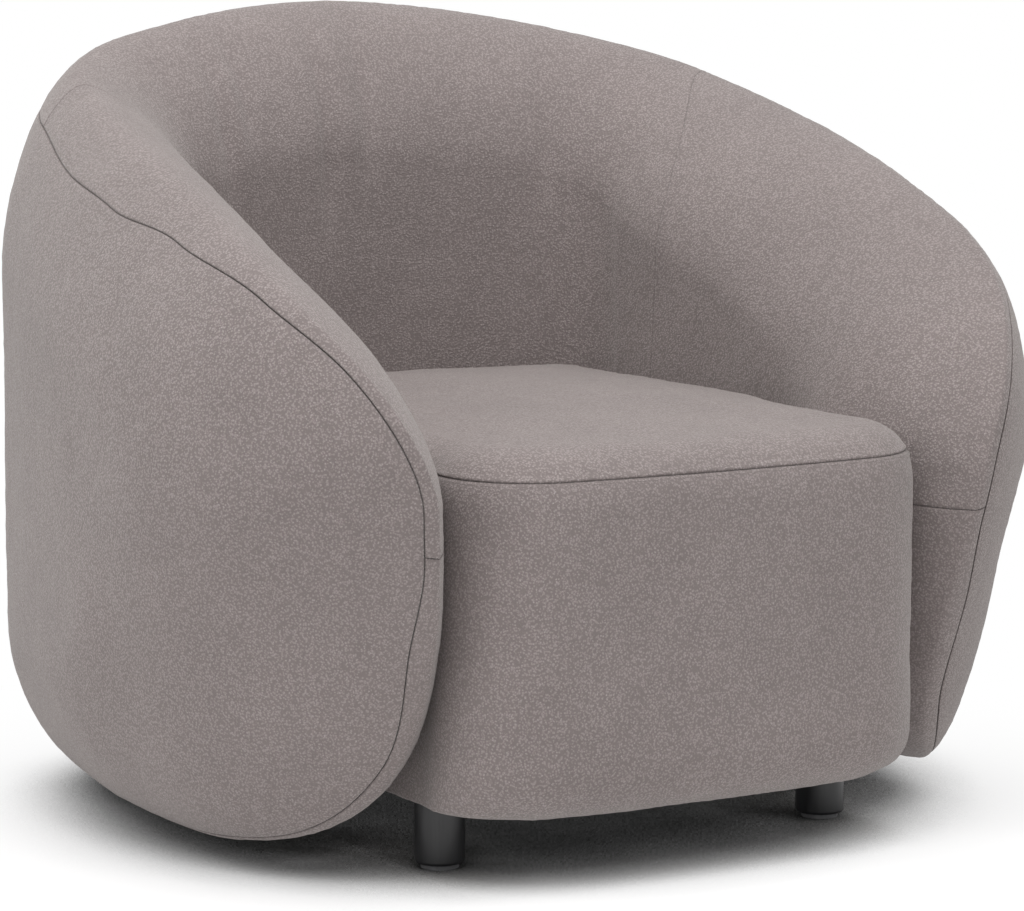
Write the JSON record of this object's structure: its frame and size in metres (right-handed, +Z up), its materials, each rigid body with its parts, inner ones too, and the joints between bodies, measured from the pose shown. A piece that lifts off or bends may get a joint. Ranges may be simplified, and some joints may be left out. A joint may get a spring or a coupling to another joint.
{
  "type": "tub chair",
  "caption": "Low upholstered tub chair: a padded shell sweeps from a rounded back into curled arms round a fixed seat block, on short round legs.",
  "frame": {"origin": "on the floor, under the centre of the chair's bounding box", "axes": "+Z up, -Y out of the front of the seat, +X towards the arm on the right seen from the front"},
  "size_m": [0.9196, 0.8118, 0.7452],
  "materials": {
    "boucle": "curled wool-like pile, taupe grey",
    "foam": "open cell foam",
    "timber": "sawn birch ply and pine, unfinished",
    "webbing": "woven elastic strap",
    "dust_cloth": "spunbond lining",
    "steel": "zinc plated",
    "leg_black": "black satin lacquer",
    "glide_grey": "moulded nylon"
  },
  "bodies": {
    "root": {"inner_back_cover": "boucle", "inner_arm_cover_left": "boucle", "inner_arm_cover_right": "boucle", "lower_arm_cover_left": "boucle", "lower_arm_cover_right": "boucle", "outer_cover_left": "boucle", "outer_cover_right": "boucle", "under_band": "boucle", "seat_top_cover": "boucle", "seat_front_cover": "boucle", "dust_cover": "dust_cloth", "inner_back_foam": "foam", "inner_arm_foam_left": "foam", "inner_arm_foam_right": "foam", "arm_front_foam_left": "foam", "arm_front_foam_right": "foam", "outer_back_foam": "foam", "outer_arm_foam_left": "foam", "outer_arm_foam_right": "foam", "seat_foam": "foam", "seat_front_foam": "foam", "base_board": "timber", "back_posts": "timber", "arm_posts_left": "timber", "arm_posts_right": "timber", "top_rail": "timber", "outer_liner": "timber", "inner_liner": "timber", "front_rail": "timber", "side_rail_left": "timber", "side_rail_right": "timber", "rear_rail": "timber", "corner_blocks": "timber", "webbing_long": "webbing", "webbing_cross": "webbing", "frame_screws": "steel", "tee_nuts": "steel", "leg_bolts": "steel", "leg_front_left": "leg_black", "leg_front_right": "leg_black", "leg_rear_left": "leg_black", "leg_rear_right": "leg_black", "glide_front_left": "glide_grey", "glide_front_right": "glide_grey", "glide_rear_left": "glide_grey", "glide_rear_right": "glide_grey"}
  },
  "joints": []
}
